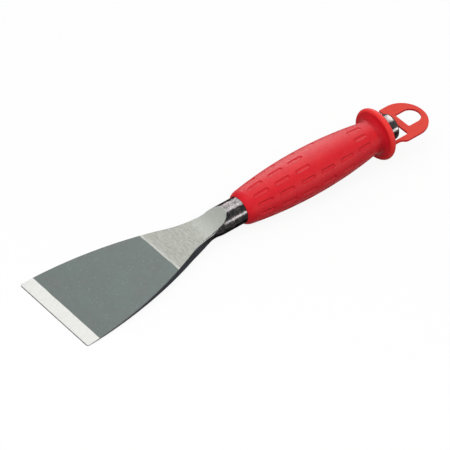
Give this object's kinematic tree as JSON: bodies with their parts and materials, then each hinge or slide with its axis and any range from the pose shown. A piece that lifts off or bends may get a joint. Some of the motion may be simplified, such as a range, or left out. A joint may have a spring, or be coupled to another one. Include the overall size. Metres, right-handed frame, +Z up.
{
  "type": "spade chisel",
  "caption": "Hand chisel with a wide thin ground blade forged from a round bar, a soft red barrel grip with a collar, and a hang tab behind the butt",
  "frame": {"origin": "Middle of the cutting edge on its underside, on the surface that the tool lies on", "axes": "+X from the cutting edge to the butt and hang tab, +Z up, +Y to the left of the blade seen from the butt; the bar rises by about 3.75 degrees along +X, because the tool lies on its edge and on the barrel of its grip"},
  "size_m": [0.2756, 0.06, 0.0347],
  "materials": {
    "steel": "dark ground face with a bright bevel and neck, glossy black scale on the bar and sides",
    "grip": "soft satin red"
  },
  "bodies": {
    "root": {"forged_blade": "steel", "grip": "grip"}
  },
  "joints": []
}
